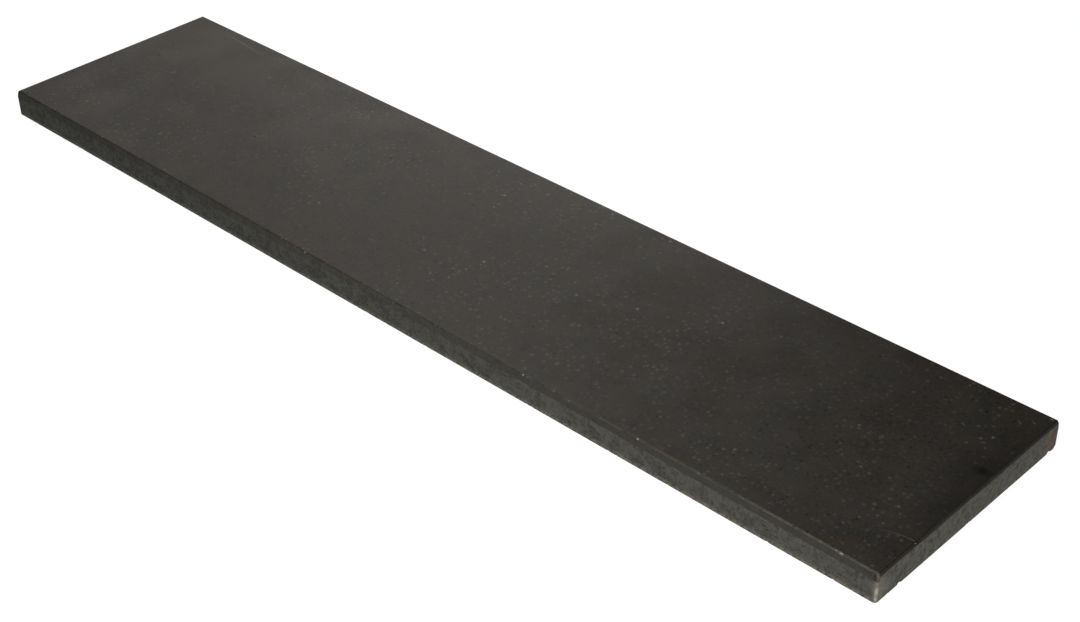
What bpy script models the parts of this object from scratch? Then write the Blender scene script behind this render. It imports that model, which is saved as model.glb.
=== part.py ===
"""Basalt massage stone: one long, thin, rectangular slab of dark basalt, sawn and honed.

Metres, +Z up. The stone lies on its bedding face, with its origin at the middle of that face.
+X runs along the length, -Y is the long side that faces the person using it, +Z is the honed face.
"""

import bmesh
import bpy
from mathutils import Vector

# Sawn size of the slab
LENGTH = 0.780
WIDTH = 0.175
THICKNESS = 0.020

# Steep facets ground on the upper part of the sides
LONG_FACET_RUN = 0.0010  # how far it leans in over the honed face, on the two long sides
LONG_FACET_DROP = 0.0050  # how far it reaches down the long sides
END_FACET_RUN = 0.0009  # the same two sizes on the two ends
END_FACET_DROP = 0.0023

# Eased edges, so that nothing sharp meets a hand or a towel
TOP_EASE = 0.0009  # round the honed face
CORNER_EASE = 0.0016  # the four upright corners
FOOT_EASE = 0.0010  # round the bedding face

# How many steps each eased edge is made in
TOP_SEGMENTS = 3
CORNER_SEGMENTS = 4
FOOT_SEGMENTS = 3

SAME_HEIGHT = 1e-6  # two points closer than this in height are level

BASALT_COLOUR = (0.034, 0.032, 0.029, 1.0)  # dark, faintly warm grey, linear
BASALT_ROUGHNESS = 0.45  # honed, not polished


def clear_scene():
    for obj in list(bpy.data.objects):
        bpy.data.objects.remove(obj, do_unlink=True)


def basalt_material():
    material = bpy.data.materials.new("honed_basalt")
    material.use_nodes = True
    shader = material.node_tree.nodes["Principled BSDF"]
    shader.inputs["Base Color"].default_value = BASALT_COLOUR
    shader.inputs["Metallic"].default_value = 0.0
    shader.inputs["Roughness"].default_value = BASALT_ROUGHNESS
    material.diffuse_color = BASALT_COLOUR
    return material


def ring_at(bm, height):
    """The edges that lie level at this height."""
    return [
        edge
        for edge in bm.edges
        if all(abs(vert.co.z - height) < SAME_HEIGHT for vert in edge.verts)
    ]


def rising_edges(bm):
    """The edges that climb: the upright corners and the mitres above them."""
    return [
        edge
        for edge in bm.edges
        if abs(edge.verts[0].co.z - edge.verts[1].co.z) > SAME_HEIGHT
    ]


def ease(bm, edges, amount, segments):
    bmesh.ops.bevel(
        bm,
        geom=edges,
        offset=amount,
        offset_type="OFFSET",
        affect="EDGES",
        segments=segments,
        profile=0.5,
        material=-1,
    )


def sawn_blank(bm):
    """The slab as it leaves the saw."""
    bmesh.ops.create_cube(bm, size=1.0)
    bmesh.ops.scale(bm, vec=Vector((LENGTH, WIDTH, THICKNESS)), verts=bm.verts)
    bmesh.ops.translate(bm, vec=Vector((0.0, 0.0, THICKNESS / 2)), verts=bm.verts)


def grind_facet(bm, outward, reach, run, drop):
    """Takes the upper part of one side back by run, from drop below the honed face.

    outward is the side's level direction and reach its distance from the middle of the stone.
    """
    cut = bmesh.ops.bisect_plane(
        bm,
        geom=bm.verts[:] + bm.edges[:] + bm.faces[:],
        plane_co=outward * reach + Vector((0.0, 0.0, THICKNESS - drop)),
        plane_no=(outward * drop + Vector((0.0, 0.0, run))).normalized(),
        clear_outer=True,
    )
    rim = [item for item in cut["geom_cut"] if isinstance(item, bmesh.types.BMEdge)]
    bmesh.ops.edgeloop_fill(bm, edges=rim)


def basalt_stone():
    bm = bmesh.new()
    sawn_blank(bm)
    for sign in (-1, 1):
        grind_facet(bm, Vector((0.0, sign, 0.0)), WIDTH / 2, LONG_FACET_RUN, LONG_FACET_DROP)
        grind_facet(bm, Vector((sign, 0.0, 0.0)), LENGTH / 2, END_FACET_RUN, END_FACET_DROP)
    ease(bm, rising_edges(bm), CORNER_EASE, CORNER_SEGMENTS)
    ease(bm, ring_at(bm, THICKNESS), TOP_EASE, TOP_SEGMENTS)
    ease(bm, ring_at(bm, 0.0), FOOT_EASE, FOOT_SEGMENTS)
    bmesh.ops.recalc_face_normals(bm, faces=bm.faces)
    mesh = bpy.data.meshes.new("basalt_stone")
    bm.to_mesh(mesh)
    bm.free()
    mesh.shade_smooth()
    mesh.set_sharp_from_angle(angle=0.5)
    mesh.materials.append(basalt_material())
    stone = bpy.data.objects.new("basalt_stone", mesh)
    bpy.context.scene.collection.objects.link(stone)
    return stone


clear_scene()
basalt_stone()
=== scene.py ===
import math
import random

import bmesh
import bpy
from mathutils import Matrix, Vector, kdtree, noise


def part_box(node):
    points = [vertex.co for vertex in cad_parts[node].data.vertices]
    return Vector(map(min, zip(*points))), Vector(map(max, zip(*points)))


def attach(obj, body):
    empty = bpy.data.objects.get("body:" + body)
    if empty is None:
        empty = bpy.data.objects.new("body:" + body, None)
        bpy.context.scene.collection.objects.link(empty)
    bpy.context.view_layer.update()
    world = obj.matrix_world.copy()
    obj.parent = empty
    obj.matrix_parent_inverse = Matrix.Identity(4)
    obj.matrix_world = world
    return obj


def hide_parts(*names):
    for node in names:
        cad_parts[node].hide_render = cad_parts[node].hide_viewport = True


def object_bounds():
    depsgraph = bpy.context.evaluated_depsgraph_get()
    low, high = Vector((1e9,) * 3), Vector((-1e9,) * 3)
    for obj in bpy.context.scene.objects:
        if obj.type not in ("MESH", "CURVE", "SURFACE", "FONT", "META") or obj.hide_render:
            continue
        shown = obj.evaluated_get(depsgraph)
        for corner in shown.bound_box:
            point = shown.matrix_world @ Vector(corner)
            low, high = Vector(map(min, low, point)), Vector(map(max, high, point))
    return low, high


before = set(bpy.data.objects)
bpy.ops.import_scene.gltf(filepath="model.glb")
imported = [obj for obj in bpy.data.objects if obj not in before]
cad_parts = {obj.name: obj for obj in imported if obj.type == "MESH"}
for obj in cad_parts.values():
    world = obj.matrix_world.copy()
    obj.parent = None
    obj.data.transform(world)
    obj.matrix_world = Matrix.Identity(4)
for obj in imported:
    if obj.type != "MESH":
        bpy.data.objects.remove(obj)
cadLow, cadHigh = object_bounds()
print("frame loaded")

mm = 0.001  # sizes are given in millimetres, and the scene is in metres


def linearColour(hexColour):
    # sRGB hex to the linear values that shaders and lamps read
    parts = [int(hexColour[i:i + 2], 16) / 255 for i in (1, 3, 5)]
    return [p / 12.92 if p <= 0.04045 else ((p + 0.055) / 1.055) ** 2.4 for p in parts] + [1.0]


def addNode(tree, kind, sockets=None, output=None, **settings):
    # one node with its settings; each socket is given a value, or the output that feeds it
    node = tree.nodes.new(kind)
    for name, value in settings.items():
        setattr(node, name, value)
    for name, value in (sockets or {}).items():
        if isinstance(value, bpy.types.NodeSocket):
            tree.links.new(value, node.inputs[name])
        else:
            node.inputs[name].default_value = value
    return node.outputs[output] if output else next((o for o in node.outputs if o.enabled), None)


# The slab is sawn from one block, its top honed, its upper sides ground back into a steep
# facet and every edge rubbed down by hand, so nothing on it is quite straight. Millimetres.
slab = {
    "longRun": 1.0, "longDrop": 5.0,  # facet on the long sides: how far in, how far down
    "endRun": 0.9, "endDrop": 2.3,  # facet on the ends
    "topEase": 0.9, "footEase": 0.5, "cornerEase": 0.6, "easeSteps": 4,
    "nearCornerEase": 2.0, "nearCornerSteps": 5,  # the corner at the front right is rubbed widest
    "rowEvery": 3.0,  # spacing of the rows that carry the unevenness
    "wander": 0.12, "wanderOver": 60.0,  # slow drift of the ground faces
    "ripple": 0.05, "rippleOver": 9.0,  # hand-held grinding
    "sideBand": 2.5,  # how far in from a side a point still counts as the side's
    "level": 0.001,  # points closer than this in height are level
    "finest": 0.45, "halvings": 4,  # smallest edge where a chip is cut, and the halvings to reach it
    "scoopRough": 0.22, "scoopRoughOver": 0.9,  # how ragged a chip is, as a share of its radius
    "chipFromSide": 3.0,  # a chip this close to a side is cut from that side
    "bruiseSpread": 1.08,  # how far pale, bruised stone reaches, as a share of the chip's radius
    "seed": 11,
}

# Chips seen on the edges: place on the stone, radius of the scoop, how far its centre stands
# out from the edge, and whether the bruised stone in it shows pale.
edgeChips = [
    ((-243.0, -87.2, 19.8), 2.2, 1.3, False),
    ((-58.5, -86.6, 19.8), 1.2, 0.7, True),
    ((138.0, -86.6, 19.8), 1.2, 0.7, True),
    ((227.0, -86.8, 19.8), 1.3, 0.75, True),
    ((362.5, -86.4, 19.8), 1.0, 0.7, True),
    ((366.0, -86.8, 19.3), 1.4, 0.9, True),
    ((389.6, -54.0, 19.6), 1.1, 0.75, True),
    ((389.8, -66.6, 0.2), 2.0, 0.9, True),
    ((389.4, 80.0, 0.3), 2.2, 1.2, False),
    ((389.6, 87.2, 0.3), 2.6, 1.5, False),
]

# Small nicks scattered along the edges round the top and the foot; those at the top are smaller.
nicks = {
    "count": 90, "atTop": 0.3, "pale": 0.35,  # how many, and the shares at the top and showing pale
    "radius": (0.5, 1.1), "topShrink": 0.7,
    "lift": (0.45, 0.8),  # how far out the scoop's centre stands, as a share of its radius
    "topInset": 0.55, "footInset": 0.35,  # and how far in the eased edge lies
}

# Pores of the lava that honing has opened, mostly too small to see.
pores = {"count": 45, "radius": (0.35, 0.8), "lift": 0.55}


def grindFacet(bm, outward, reach, run, drop, top):
    cut = bmesh.ops.bisect_plane(
        bm, geom=bm.verts[:] + bm.edges[:] + bm.faces[:],
        plane_co=outward * reach + Vector((0, 0, top - drop)),
        plane_no=(outward * drop + Vector((0, 0, run))).normalized(), clear_outer=True)
    rim = [item for item in cut["geom_cut"] if isinstance(item, bmesh.types.BMEdge)]
    bmesh.ops.edgeloop_fill(bm, edges=rim)


def easeEdges(bm, edges, amount, segments):
    bmesh.ops.bevel(bm, geom=edges, offset=amount * mm, offset_type="OFFSET", affect="EDGES",
                    segments=segments, profile=0.5, material=-1)


def levelEdges(bm, height):
    return [e for e in bm.edges if all(abs(v.co.z - height) < slab["level"] * mm for v in e.verts)]


def climbingEdges(bm, near):
    # the edges that climb at the front right corner, or those at the other three
    climbing = [e for e in bm.edges if abs(e.verts[0].co.z - e.verts[1].co.z) > slab["level"] * mm]
    return [e for e in climbing if all(v.co.x > 0 > v.co.y for v in e.verts) == near]


def cutRows(bm, axis, low, high):
    # parallel cuts right through the mesh, so that it can follow the unevenness
    count = max(1, round((high - low) / (slab["rowEvery"] * mm)))
    direction = Vector([1.0 if i == axis else 0.0 for i in range(3)])
    for i in range(1, count):
        place = direction * (low + (high - low) * i / count)
        bmesh.ops.bisect_plane(bm, geom=bm.verts[:] + bm.edges[:] + bm.faces[:], dist=0.02 * mm,
                               plane_co=place, plane_no=direction)


def unevenness(point, outward):
    # how far hand grinding has left a point off the true face
    slow = noise.noise(point / (slab["wanderOver"] * mm) + outward * 7)
    quick = noise.noise(point / (slab["rippleOver"] * mm) + outward * 13)
    return (slab["wander"] * slow + slab["ripple"] * quick) * mm


def leaveUneven(bm, low, high):
    # moves the sides in a little, never out; the underside and the middle of the top stay true
    for vert in bm.verts:
        co = vert.co
        onSide = max(abs(co.x) - high.x, abs(co.y) - high.y) > -slab["sideBand"] * mm
        if not onSide or co.z < low.z + slab["level"] * mm:
            continue
        outward = Vector((vert.normal.x, vert.normal.y, 0))
        if outward.length > 0.1:  # the level top has no way out
            share = min(1.0, outward.length * 1.5)  # less where the edge turns towards the top
            vert.co = co - outward.normalized() * (abs(unevenness(co, outward)) * share)


def chipScoops(low, high):
    middle = (low + high) / 2
    scoops = []
    for place, radius, lift, pale in edgeChips:
        point = Vector(place) * mm + Vector((0, 0, low.z))
        outward = Vector((0.0, 0.0, math.copysign(1.0, point.z - middle.z)))
        if abs(point.x - middle.x) > (high.x - low.x) / 2 - slab["chipFromSide"] * mm:
            outward.x = math.copysign(1.0, point.x - middle.x)
        if abs(point.y - middle.y) > (high.y - low.y) / 2 - slab["chipFromSide"] * mm:
            outward.y = math.copysign(1.0, point.y - middle.y)
        centre = point + outward.normalized() * lift * mm
        scoops.append({"centre": centre, "radius": radius * mm, "pale": pale})
    return scoops


def pointOnOutline(low, high, along):
    # a point on the plan's outline and the way out from it there
    length, width = high.x - low.x, high.y - low.y
    if along < length:
        return Vector((low.x + along, low.y, 0)), Vector((0, -1, 0))
    along -= length
    if along < width:
        return Vector((high.x, low.y + along, 0)), Vector((1, 0, 0))
    along -= width
    if along < length:
        return Vector((high.x - along, high.y, 0)), Vector((0, 1, 0))
    along -= length
    return Vector((low.x, high.y - along, 0)), Vector((-1, 0, 0))


def nickScoops(low, high):
    draw = random.Random(slab["seed"])
    scoops = []
    for i in range(nicks["count"]):
        along = draw.random() * 2 * ((high.x - low.x) + (high.y - low.y))
        point, outward = pointOnOutline(low, high, along)
        atTop = draw.random() < nicks["atTop"]
        point.z = high.z if atTop else low.z
        outward = (outward + Vector((0, 0, 1 if atTop else -1))).normalized()
        radius = draw.uniform(*nicks["radius"]) * (nicks["topShrink"] if atTop else 1.0)
        lift = radius * draw.uniform(*nicks["lift"]) - nicks["topInset" if atTop else "footInset"]
        scoops.append({"centre": point + outward * lift * mm, "radius": radius * mm,
                       "pale": draw.random() < nicks["pale"]})
    return scoops


def poreScoops(low, high):
    draw = random.Random(slab["seed"] + 1)
    scoops = []
    for i in range(pores["count"]):
        place = Vector((draw.uniform(low.x, high.x), draw.uniform(low.y, high.y), high.z))
        radius = draw.uniform(*pores["radius"])
        centre = place + Vector((0, 0, pores["lift"] * radius * mm))
        scoops.append({"centre": centre, "radius": radius * mm, "pale": False})
    return scoops


def scoopTree(scoops):
    tree = kdtree.KDTree(len(scoops))
    for i, scoop in enumerate(scoops):
        tree.insert(scoop["centre"], i)
    tree.balance()
    return tree


def refineNear(bm, scoops):
    # halves the edges round each scoop until they are fine enough to show it
    tree = scoopTree(scoops)
    widest = max(s["radius"] for s in scoops)
    for _ in range(slab["halvings"]):
        wanted = set()
        for face in bm.faces:
            middle = face.calc_center_median()
            size = max(e.calc_length() for e in face.edges)
            for _, i, gap in tree.find_range(middle, widest + size):
                if gap < scoops[i]["radius"] + 0.7 * size:
                    wanted.update(e for e in face.edges if e.calc_length() > slab["finest"] * mm)
                    break
        inOrder = [e for e in bm.edges if e in wanted]  # a set's own order changes from run to run
        bmesh.ops.subdivide_edges(bm, edges=inOrder, cuts=1, use_grid_fill=True)


def cutScoops(bm, scoops):
    # what lies inside a scoop's ball is pushed in to the ball's rough surface, and never out past the face
    tree = scoopTree(scoops)
    widest = max(s["radius"] for s in scoops) * (1.0 + slab["scoopRough"])
    for vert in bm.verts:
        for centre, i, gap in tree.find_range(vert.co, widest):
            ragged = noise.noise(vert.co / (slab["scoopRoughOver"] * mm) + Vector((i, 0, 0)))
            radius = scoops[i]["radius"] * (1.0 + slab["scoopRough"] * ragged)
            if 0 < gap < radius:
                move = centre + (vert.co - centre).normalized() * radius - vert.co
                vert.co += move - vert.normal * max(0.0, move.dot(vert.normal))


# the stone's finishes, in the order of its material slots
finishes = ["honed", "ground", "facet", "arris", "corner", "sawn", "bruised"]

# how far a face's normal has to point one way for the face to count as that kind
facing = {"honedUp": 0.97, "sawnDown": 0.8, "arrisUp": 0.32, "cornerAcross": 0.25}


def isBruised(face, scoops, tree, reach):
    # whether a face lies in one of these scoops, or just round it
    near = tree.find_range(face.calc_center_median(), reach)
    return any(gap < scoops[i]["radius"] * slab["bruiseSpread"] for _, i, gap in near)


def finishOf(face, high):
    # from the way a face looks, and on the sides from its height
    normal = face.normal
    if normal.z > facing["honedUp"]:
        return "honed"
    if normal.z < -facing["sawnDown"]:
        return "sawn"
    if normal.z > facing["arrisUp"] and abs(normal.y) > abs(normal.x):
        return "arris"
    if min(abs(normal.x), abs(normal.y)) > facing["cornerAcross"]:
        return "corner"
    drop = slab["longDrop"] if abs(normal.y) > abs(normal.x) else slab["endDrop"]
    return "facet" if face.calc_center_median().z > high.z - drop * mm else "ground"


def nameFinishes(bm, scoops, high):
    tree = scoopTree(scoops)
    reach = max(s["radius"] for s in scoops) * slab["bruiseSpread"]
    for face in bm.faces:
        finish = "bruised" if isBruised(face, scoops, tree, reach) else finishOf(face, high)
        face.material_index = finishes.index(finish)
        face.smooth = True


def buildSlab():
    low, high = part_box("basalt_stone")
    bm = bmesh.new()
    bmesh.ops.create_cube(bm, size=1.0)
    bmesh.ops.scale(bm, vec=high - low, verts=bm.verts)
    bmesh.ops.translate(bm, vec=(low + high) / 2, verts=bm.verts)
    for sign in (-1, 1):
        grindFacet(bm, Vector((0, sign, 0)), high.y, slab["longRun"] * mm, slab["longDrop"] * mm, high.z)
        grindFacet(bm, Vector((sign, 0, 0)), high.x, slab["endRun"] * mm, slab["endDrop"] * mm, high.z)
    easeEdges(bm, climbingEdges(bm, near=True), slab["nearCornerEase"], slab["nearCornerSteps"])
    easeEdges(bm, climbingEdges(bm, near=False), slab["cornerEase"], slab["easeSteps"])
    easeEdges(bm, levelEdges(bm, high.z), slab["topEase"], slab["easeSteps"])
    easeEdges(bm, levelEdges(bm, low.z), slab["footEase"], slab["easeSteps"])
    cutRows(bm, 2, low.z + slab["footEase"] * mm, high.z - slab["endDrop"] * mm)
    cutRows(bm, 1, low.y, high.y)
    cutRows(bm, 0, low.x, high.x)
    print("slab cut in rows:", len(bm.faces), "faces")
    bm.normal_update()
    leaveUneven(bm, low, high)
    scoops = chipScoops(low, high) + nickScoops(low, high) + poreScoops(low, high)
    refineNear(bm, scoops)
    bmesh.ops.triangulate(bm, faces=bm.faces)
    bm.normal_update()
    cutScoops(bm, scoops)
    bmesh.ops.recalc_face_normals(bm, faces=bm.faces)
    bm.normal_update()
    nameFinishes(bm, [s for s in scoops if s["pale"]], high)
    mesh = bpy.data.meshes.new("basaltSlab")
    bm.to_mesh(mesh)
    bm.free()
    piece = bpy.data.objects.new("basalt_slab", mesh)
    bpy.context.scene.collection.objects.link(piece)
    flat = piece.modifiers.new("facesKeepFlat", "WEIGHTED_NORMAL")
    flat.keep_sharp = True
    print("slab finished:", len(mesh.polygons), "faces")
    return piece


# Basalt: a dense, fine-grained lava, nearly black, with pale feldspar grains and fine pores.
# Colours are the stone's own; spacings and radii are in millimetres.
basalt = {
    "dark": "#1f1e1c", "light": "#34322f", "cool": "#242b2c", "warm": "#3b2f25",
    "cloudOver": 48.0, "coolOver": 31.0, "warmOver": 19.0, "mottleOver": 5.0, "grainOver": 1.2,
    "fleck": "#5d5b56", "fleckEvery": 3.4, "fleckRadius": 1.7, "fleckShare": 0.6, "fleckCrowds": 55.0,
    "spark": "#88867e", "sparkEvery": 12.0, "sparkRadius": 1.6, "sparkShare": 0.6,
    "pore": "#0a0908", "poreEvery": 4.2, "poreRadius": 1.6, "poreShare": 0.7,
    "scratch": "#8d8b83",
}


def patches(tree, coords, over, low=0.0, high=1.0, edge=0.15, detail=3.0):
    # cloudy patches about this many millimetres apart, from low to high; a small edge makes them crisp
    cloud = addNode(tree, "ShaderNodeTexNoise", {
        "Vector": coords, "Scale": 1 / (over * mm), "Detail": detail})
    return addNode(tree, "ShaderNodeMapRange", {
        "Value": cloud, "From Min": 0.5 - edge, "From Max": 0.5 + edge, "To Min": low, "To Max": high,
    }, interpolation_type="SMOOTHSTEP")


def specks(tree, coords, every, radius, share, strength=1.0):
    # grains of one mineral, some strong and some faint, ragged and soft at the rim
    ragged = addNode(tree, "ShaderNodeTexNoise", {"Vector": coords, "Scale": 1 / (radius * mm)},
                     output="Color")
    pushed = addNode(tree, "ShaderNodeVectorMath", {0: ragged, 1: [0.9 * radius * mm] * 3},
                     operation="MULTIPLY")
    shape = {"Vector": addNode(tree, "ShaderNodeVectorMath", {0: coords, 1: pushed}),
             "Scale": 1 / (every * mm)}
    rim = addNode(tree, "ShaderNodeMapRange", {
        "Value": addNode(tree, "ShaderNodeTexVoronoi", shape), "From Max": radius / every,
        "To Min": 1.0, "To Max": 0.0}, interpolation_type="SMOOTHSTEP")
    chance = addNode(tree, "ShaderNodeSeparateColor", {
        "Color": addNode(tree, "ShaderNodeTexVoronoi", shape, output="Color")})
    chosen = addNode(tree, "ShaderNodeMapRange", {"Value": chance, "From Min": 1 - share})
    grain = addNode(tree, "ShaderNodeMath", {0: rim, 1: chosen}, operation="MULTIPLY")
    return addNode(tree, "ShaderNodeMath", {0: grain, 1: strength}, operation="MULTIPLY")


def scratches(tree, coords, turn, length, width, every, share, strength):
    # fine straight marks: specks drawn out along one direction
    turned = addNode(tree, "ShaderNodeMapping", {"Vector": coords, "Rotation": (0, 0, math.radians(turn))})
    drawn = addNode(tree, "ShaderNodeMapping", {"Vector": turned, "Scale": (width / length, 1.0, 1.0)})
    return specks(tree, drawn, every, width, share, strength)


def softSpot(tree, coords, centre, reach, strength, turn=0.0):
    # a rounded patch in one place, full in its middle and gone past its reach, turned by some degrees
    shifted = addNode(tree, "ShaderNodeVectorMath", {0: coords, 1: [c * mm for c in centre]},
                      operation="SUBTRACT")
    turned = addNode(tree, "ShaderNodeMapping", {"Vector": shifted, "Rotation": (0, 0, math.radians(-turn))})
    sized = addNode(tree, "ShaderNodeVectorMath", {0: turned, 1: [r * mm for r in reach]},
                    operation="DIVIDE")
    away = addNode(tree, "ShaderNodeVectorMath", {0: sized}, operation="LENGTH")
    return addNode(tree, "ShaderNodeMapRange", {"Value": away, "To Min": strength, "To Max": 0.0},
                   interpolation_type="SMOOTHSTEP")


def arcScratch(tree, coords, arc):
    # one hairline on the upper half of a circle, fading in from its start
    shifted = addNode(tree, "ShaderNodeVectorMath", {0: coords, 1: [c * mm for c in arc["centre"]]},
                      operation="SUBTRACT")
    away = addNode(tree, "ShaderNodeVectorMath", {0: shifted}, operation="LENGTH")
    off = addNode(tree, "ShaderNodeMath", {0: away, 1: arc["radius"] * mm}, operation="SUBTRACT")
    apart = addNode(tree, "ShaderNodeMath", {0: off}, operation="ABSOLUTE")
    line = addNode(tree, "ShaderNodeMapRange", {
        "Value": apart, "From Max": arc["width"] * mm, "To Min": arc["strength"], "To Max": 0.0})
    along = addNode(tree, "ShaderNodeSeparateXYZ", {"Vector": shifted}, output="X")
    begun = addNode(tree, "ShaderNodeMapRange", {
        "Value": along, "From Min": arc["start"] * mm, "From Max": 0.0})
    across = addNode(tree, "ShaderNodeSeparateXYZ", {"Vector": shifted}, output="Y")
    upper = addNode(tree, "ShaderNodeMath", {0: across, 1: 0.0}, operation="GREATER_THAN")
    shown = addNode(tree, "ShaderNodeMath", {0: begun, 1: upper}, operation="MULTIPLY")
    return addNode(tree, "ShaderNodeMath", {0: line, 1: shown}, operation="MULTIPLY")


def fadeAlong(tree, coords, axis, start, end, low, high, folded=False):
    # from low to high between two places on one axis, in millimetres; folded, it is the same at both ends
    place = addNode(tree, "ShaderNodeSeparateXYZ", {"Vector": coords}, output=axis)
    if folded:
        place = addNode(tree, "ShaderNodeMath", {0: place}, operation="ABSOLUTE")
    return addNode(tree, "ShaderNodeMapRange", {
        "Value": place, "From Min": start * mm, "From Max": end * mm, "To Min": low, "To Max": high})


def layColours(tree, body, layers):
    # lays each colour over what is under it, as strongly as its mask says
    for mask, hexColour in layers:
        body = addNode(tree, "ShaderNodeMix", {"Factor": mask, "A": body, "B": linearColour(hexColour)},
                       data_type="RGBA")
    return body


def basaltBody(tree, coords, flecked=1.0):
    crowd = patches(tree, coords, basalt["fleckCrowds"], 0.35 * flecked, flecked)
    return layColours(tree, linearColour(basalt["dark"]), [
        (patches(tree, coords, basalt["cloudOver"], 0.3, 0.5), basalt["light"]),
        (patches(tree, coords, basalt["coolOver"], 0.0, 0.45), basalt["cool"]),
        (patches(tree, coords, basalt["warmOver"], 0.0, 0.45), basalt["warm"]),
        (patches(tree, coords, basalt["mottleOver"], 0.0, 0.2), basalt["light"]),
        (patches(tree, coords, basalt["grainOver"], 0.0, 1.0), basalt["light"]),
        (specks(tree, coords, basalt["poreEvery"], basalt["poreRadius"], basalt["poreShare"]),
         basalt["pore"]),
        (specks(tree, coords, basalt["fleckEvery"], basalt["fleckRadius"], basalt["fleckShare"], crowd),
         basalt["fleck"]),
        (specks(tree, coords, basalt["sparkEvery"], basalt["sparkRadius"], basalt["sparkShare"], crowd),
         basalt["spark"]),
    ])


def stoneMaterial(name):
    material = bpy.data.materials.new(name)
    material.use_nodes = True
    material.node_tree.nodes.clear()
    return material, material.node_tree, addNode(material.node_tree, "ShaderNodeTexCoord", output="Object")


def finishSurface(tree, body, roughness, reflection, relief=None, depth=0.0):
    # closes a material; relief is what is too fine for the mesh, and depth its millimetres
    sockets = {"Base Color": body, "Roughness": roughness, "Specular IOR Level": reflection, "IOR": 1.5}
    if relief:
        sockets["Normal"] = addNode(tree, "ShaderNodeBump", {"Height": relief, "Distance": depth * mm})
    shader = addNode(tree, "ShaderNodeBsdfPrincipled", sockets)
    addNode(tree, "ShaderNodeOutputMaterial", {"Surface": shader})


honed = {
    "roughness": (0.36, 0.42), "roughnessOver": 30.0, "grainRoughness": (-0.02, 0.02), "grainOver": 1.4,
    "reflection": 0.5,
    # single marks on the top: place, reach, strength, colour, turn
    "marks": [
        ((66.0, -82.0, 20.0), (30.0, 7.0, 9.0), 0.5, "#23251f", 0.0),  # richer in olivine, by the front edge
        ((-360.0, 76.0, 20.0), (130.0, 95.0, 20.0), 0.7, "#45413b", 0.0),  # painted reflection, lighter towards the far corner
        ((394.0, 0.0, 20.0), (34.0, 120.0, 9.0), 0.6, "#131211", 0.0),  # painted shade, darker along the right end
        ((382.6, 18.9, 20.0), (9.0, 6.0, 9.0), 0.9, "#0f0e0d", 0.0),
        ((-323.0, 76.5, 20.0), (38.0, 1.6, 5.0), 0.35, "#77746c", -5.7),  # rubbed streak at the far edge
        ((374.8, 69.8, 20.0), (3.2, 0.7, 3.0), 0.4, "#8d8b83", -30.0),  # short scratches, far right corner
        ((380.8, 74.7, 20.0), (2.4, 0.7, 3.0), 0.4, "#8d8b83", -20.0),
        ((386.5, 84.3, 20.0), (2.2, 1.6, 3.0), 0.5, "#8d8b83", 0.0),
        ((352.2, 47.1, 20.0), (2.6, 0.7, 3.0), 0.35, "#8d8b83", -12.0),
        ((-7.5, 35.3, 20.0), (1.5, 1.1, 3.0), 0.6, "#8d8b83", 0.0),  # two large grains
        ((57.3, 65.3, 20.0), (1.6, 1.1, 3.0), 0.6, "#8d8b83", 0.0),
    ],
    # scattered scratches: turn, length, width, spacing, share, strength
    "scratches": [(24.0, 14.0, 0.3, 9.0, 0.3, 0.3), (-8.0, 60.0, 0.35, 10.0, 0.4, 0.12)],
    "hairline": {"centre": (388.5, -94.0, 20.0), "radius": 40.6, "width": 0.3, "start": -22.0,
                 "strength": 0.6},
}


def honedBasalt():
    # honed with fine abrasive to a satin that mirrors a window softly; the grain still shows
    material, tree, coords = stoneMaterial("honedBasalt")
    # the marks include a painted reflection at the far corner and painted shade along the right end
    body = layColours(tree, basaltBody(tree, coords), [
        (softSpot(tree, coords, centre, reach, strength, turn), colour)
        for centre, reach, strength, colour, turn in honed["marks"]])
    body = layColours(tree, body, [
        (scratches(tree, coords, *marks), basalt["scratch"]) for marks in honed["scratches"]])
    body = layColours(tree, body, [(arcScratch(tree, coords, honed["hairline"]), basalt["scratch"])])
    satin = patches(tree, coords, honed["roughnessOver"], *honed["roughness"])
    grain = patches(tree, coords, honed["grainOver"], *honed["grainRoughness"])
    roughness = addNode(tree, "ShaderNodeMath", {0: satin, 1: grain})
    finishSurface(tree, body, roughness, honed["reflection"])
    return material


ground = {
    "dull": (0.6, "#1f201e"), "pale": "#464843", "paleOver": 5.0, "crumb": "#4a4b47", "crumbOver": 1.9,
    "foot": "#6b6962", "footFull": 1.0, "footGone": 4.0, "footOver": 1.4,  # paler near the floor
    "scratches": (24.0, 12.0, 0.4, 6.0, 0.4, 0.45),  # turn, length, width, spacing, share, strength
    "rust": "#4f3c28", "rustAt": (390.0, 79.0, 10.0), "rustReach": (6.0, 11.0, 11.0),
    # painted highlight at the front right corner, where the eased corner catches the light
    "paleHighlight": "#5a5953", "paleHighlightAt": (390.0, -86.0, 8.0), "paleHighlightReach": (6.0, 14.0, 14.0),
    "roughness": (0.58, 0.7), "reflection": 0.045, "reliefOver": 0.9, "reliefDepth": 0.02,
}


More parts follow.
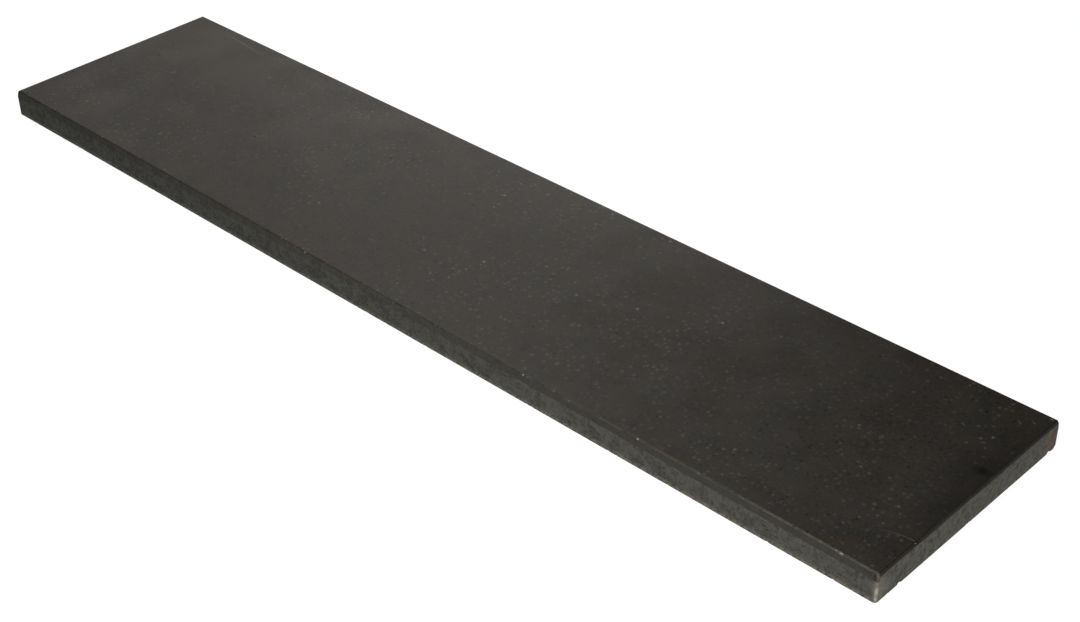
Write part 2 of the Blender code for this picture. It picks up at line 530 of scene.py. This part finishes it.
def groundBasalt():
    # sawn side: duller than the top, mottled by the wheel, paler along its foot
    material, tree, coords = stoneMaterial("groundBasalt")
    # paler towards the floor, mostly on the long sides
    foot = fadeAlong(tree, coords, "Z", ground["footFull"], ground["footGone"], 0.45, 0.0)
    onLong = fadeAlong(tree, coords, "X", 386.0, 389.0, 1.0, 0.1)  # hardly any on the right end
    bruised = addNode(tree, "ShaderNodeMath", {0: foot, 1: onLong}, operation="MULTIPLY")
    paleTowardsFoot = addNode(tree, "ShaderNodeMath", {0: bruised, 1: patches(tree, coords, ground["footOver"])},
                     operation="MULTIPLY")
    body = layColours(tree, basaltBody(tree, coords, 0.6), [
        ground["dull"],
        (patches(tree, coords, ground["paleOver"], 0.0, 0.34, detail=4.0), ground["pale"]),
        (patches(tree, coords, ground["crumbOver"], 0.0, 0.32), ground["crumb"]),
        (paleTowardsFoot, ground["foot"]),
        (scratches(tree, coords, *ground["scratches"]), basalt["scratch"]),
        (softSpot(tree, coords, ground["rustAt"], ground["rustReach"], 0.3), ground["rust"]),
        # painted highlight at the front right corner
        (softSpot(tree, coords, ground["paleHighlightAt"], ground["paleHighlightReach"], 0.45), ground["paleHighlight"]),
    ])
    finishSurface(tree, body, patches(tree, coords, 6.0, *ground["roughness"]), ground["reflection"],
                  patches(tree, coords, ground["reliefOver"]), ground["reliefDepth"])
    return material


facet = {
    "dull": (0.5, "#2b2c29"), "pale": "#464843", "mottleOver": 5.0,
    "rightShade": "#151413", "end": "#121110",  # painted shade: darker towards the right, and darkest on the ends
    "roughness": (0.55, 0.65), "reflection": 0.03,
}


def facetBasalt():
    # the hand-held pass that broke the upper edge: finer and more even than the side, with painted shade
    # darker towards the right and on the ends
    material, tree, coords = stoneMaterial("facetBasalt")
    # painted shade, darker towards the right
    shadedRight = fadeAlong(tree, coords, "X", 0.0, 200.0, 0.0, 1.0)
    mottle = patches(tree, coords, facet["mottleOver"], 0.2, 0.5)
    dark = addNode(tree, "ShaderNodeMath", {0: shadedRight, 1: mottle}, operation="MULTIPLY")
    # painted shade, darkest on the ends
    atEnds = fadeAlong(tree, coords, "X", 386.5, 388.5, 0.0, 0.65, folded=True)
    body = layColours(tree, basaltBody(tree, coords, 0.5), [
        facet["dull"],
        (patches(tree, coords, facet["mottleOver"], 0.08, 0.3, detail=4.0), facet["pale"]),
        (dark, facet["rightShade"]),
        (atEnds, facet["end"]),
    ])
    finishSurface(tree, body, patches(tree, coords, 6.0, *facet["roughness"]), facet["reflection"])
    return material


# pale wear and a painted highlight on the long top edges
arris = {"wearAndHighlight": "#464540", "wearAndHighlightOver": 7.0, "roughness": 0.65, "reflection": 0.05}


def rubbedArrisAndHighlight():
    # the long top edges, eased with a rubbing block: paler towards the right, partly worn where it pressed
    # hardest and partly a painted highlight where the eased edge catches the light
    material, tree, coords = stoneMaterial("rubbedArrisAndHighlight")
    # partly wear, partly painted highlight, stronger towards the right
    paleHighlight = fadeAlong(tree, coords, "X", 290.0, 340.0, 0.4, 1.0)
    wearAndHighlight = patches(tree, coords, arris["wearAndHighlightOver"], 0.2, 0.9, detail=4.0)
    pale = addNode(tree, "ShaderNodeMath", {0: paleHighlight, 1: wearAndHighlight}, operation="MULTIPLY")
    body = layColours(tree, basaltBody(tree, coords), [(pale, arris["wearAndHighlight"])])
    finishSurface(tree, body, arris["roughness"], arris["reflection"])
    return material


# painted highlight on the upright corners, pale up to the facet
corner = {"highlight": "#6b6a64", "highlightFull": 9.0, "highlightGone": 15.0, "highlightOver": 2.5, "roughness": 0.75,
          "reflection": 0.08}


def cornerHighlight():
    # upright corners: a painted highlight, pale from the foot up to the facet, where the eased corner
    # catches the light
    material, tree, coords = stoneMaterial("cornerHighlight")
    low = fadeAlong(tree, coords, "Z", corner["highlightFull"], corner["highlightGone"], 1.0, 0.05)
    patchyHighlight = patches(tree, coords, corner["highlightOver"], 0.6, 1.0)
    paleHighlight = addNode(tree, "ShaderNodeMath", {0: low, 1: patchyHighlight}, operation="MULTIPLY")
    body = layColours(tree, basaltBody(tree, coords), [(paleHighlight, corner["highlight"])])
    finishSurface(tree, body, corner["roughness"], corner["reflection"])
    return material


bed = {"line": "#4b4944", "lineEvery": 1.6, "lineStretch": 0.02, "roughness": 0.85, "reflection": 0.2,
       "lineDepth": 0.05}


def sawnBed():
    # the underside as the frame saw left it: matt, with straight blade lines across
    material, tree, coords = stoneMaterial("sawnBed")
    across = addNode(tree, "ShaderNodeMapping", {"Vector": coords, "Scale": (1.0, bed["lineStretch"], 1.0)})
    blade = patches(tree, across, bed["lineEvery"])
    body = layColours(tree, basaltBody(tree, coords, 0.8), [
        (patches(tree, across, bed["lineEvery"], 0.2, 0.6), bed["line"])])
    finishSurface(tree, body, bed["roughness"], bed["reflection"], blade, bed["lineDepth"])
    return material


bruise = {"dark": "#403f3b", "pale": "#7c7a72", "paleOver": 0.7, "roughness": 0.9, "reflection": 0.15}


def bruisedBasalt():
    # crushed mineral in a fresh chip scatters light, so it shows pale and dry
    material, tree, coords = stoneMaterial("bruisedBasalt")
    body = layColours(tree, linearColour(bruise["dark"]), [
        (patches(tree, coords, bruise["paleOver"]), bruise["pale"])])
    finishSurface(tree, body, bruise["roughness"], bruise["reflection"])
    return material


floorLook = {"size": 30.0, "colour": "#808183", "glow": 0.93, "roughness": 0.9}


def paleFloor():
    bm = bmesh.new()
    bmesh.ops.create_grid(bm, x_segments=1, y_segments=1, size=floorLook["size"] / 2)
    mesh = bpy.data.meshes.new("paleFloor")
    bm.to_mesh(mesh)
    bm.free()
    floor = bpy.data.objects.new("pale_floor", mesh)
    bpy.context.scene.collection.objects.link(floor)
    floor.location.z = cadLow.z
    material = bpy.data.materials.new("mattCard")
    material.use_nodes = True
    card = material.node_tree.nodes["Principled BSDF"].inputs
    card["Base Color"].default_value = linearColour(floorLook["colour"])
    card["Roughness"].default_value = floorLook["roughness"]
    card["Specular IOR Level"].default_value = 0.0
    card["Emission Color"].default_value = (1, 1, 1, 1)
    card["Emission Strength"].default_value = floorLook["glow"]
    mesh.materials.append(material)


# Soft boxes: where each one stands round the stone, its size and its power, and what it aims at
# if not the stone's middle. Metres, degrees and watts.
# Three low ones behind and to the left lie in the satin top's mirror direction, and fade to the right.
# The two close ones light the sides and are kept out of reflections, where they would glare;
# the sheen is a wide dim panel that is only reflected, and keeps the top alive from behind.
softBoxes = {
    "overhead": {"azimuth": 0, "elevation": 80, "distance": 1.4, "size": 0.7, "watts": 7.4},
    "frontLow": {"azimuth": 10, "elevation": 10, "distance": 0.5, "size": 0.25, "watts": 3.6,
                 "aim": (0.21, -0.0875, 0.01), "mirrored": False},
    "endLow": {"azimuth": 75, "elevation": 7, "distance": 0.6, "size": 0.15, "watts": 4.7,
               "aim": (0.39, 0.0, 0.01), "mirrored": False},
    "backRim": {"azimuth": 210, "elevation": 10, "distance": 1.0, "size": 0.35, "watts": 1.4},
    "backLow": {"azimuth": 230, "elevation": 20, "distance": 1.0, "size": 0.35, "watts": 0.43},
    "leftLow": {"azimuth": 252, "elevation": 20, "distance": 1.0, "size": 0.35, "watts": 0.28},
    "backHigh": {"azimuth": 240, "elevation": 55, "distance": 1.0, "size": 0.35, "watts": 0.93},
    "sheen": {"azimuth": 45, "elevation": 22, "distance": 1.3, "size": 1.0, "watts": 1.3,
              "lighting": False},
}
studio = {"backdrop": "#fcfcfc", "lampColour": "#fff9f2"}


def standSoftBox(name, look):
    # azimuth 0 stands in front of the stone, 90 to its right
    turn, rise = math.radians(look["azimuth"]), math.radians(look["elevation"])
    away = Vector((math.sin(turn) * math.cos(rise), -math.cos(turn) * math.cos(rise), math.sin(rise)))
    lamp = bpy.data.lights.new(name, "AREA")
    lamp.size = look["size"]
    lamp.energy = look["watts"]
    lamp.color = linearColour(studio["lampColour"])[:3]
    holder = bpy.data.objects.new(name, lamp)
    holder.location = Vector(look.get("aim", (0, 0, 0.01))) + away * look["distance"]
    holder.rotation_euler = away.to_track_quat("Z", "Y").to_euler()
    holder.visible_camera = False
    holder.visible_glossy = look.get("mirrored", True)
    holder.visible_diffuse = look.get("lighting", True)
    bpy.context.scene.collection.objects.link(holder)


def lightStudio():
    for name, look in softBoxes.items():
        standSoftBox(name, look)
    world = bpy.data.worlds.new("paleBackdrop")
    world.use_nodes = True
    world.node_tree.nodes["Background"].inputs["Color"].default_value = linearColour(studio["backdrop"])
    world.cycles_visibility.diffuse = False  # the backdrop is only seen, and doesn't light the stone
    world.cycles_visibility.glossy = False
    bpy.context.scene.world = world
    bpy.context.scene.view_settings.view_transform = "Standard"


# Metres, degrees and, for the lens, millimetres on a sensor 36 mm wide.
viewpoint = {"place": (0.7547, -0.7035, 0.6639), "aim": (0.0899, -0.0222, 0.0100), "roll": -0.976,
             "lens": 61.76, "sensor": 36.0, "nearest": 0.05, "farthest": 50.0}


def placeCamera():
    data = bpy.data.cameras.new("viewpoint")
    data.lens, data.sensor_width = viewpoint["lens"], viewpoint["sensor"]
    data.clip_start, data.clip_end = viewpoint["nearest"], viewpoint["farthest"]
    camera = bpy.data.objects.new("viewpoint", data)
    bpy.context.scene.collection.objects.link(camera)
    sight = Vector(viewpoint["aim"]) - Vector(viewpoint["place"])
    roll = Matrix.Rotation(math.radians(viewpoint["roll"]), 3, "Z")
    turn = sight.to_track_quat("-Z", "Y").to_matrix() @ roll
    camera.matrix_world = Matrix.Translation(viewpoint["place"]) @ turn.to_4x4()
    bpy.context.scene.camera = camera


placeCamera()
lightStudio()
paleFloor()
print("studio ready")

stone = buildSlab()
makers = {"honed": honedBasalt, "ground": groundBasalt, "facet": facetBasalt, "arris": rubbedArrisAndHighlight,
          "corner": cornerHighlight, "sawn": sawnBed, "bruised": bruisedBasalt}
for finish in finishes:
    stone.data.materials.append(makers[finish]())
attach(stone, "root")
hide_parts("basalt_stone")
print("stone dressed")
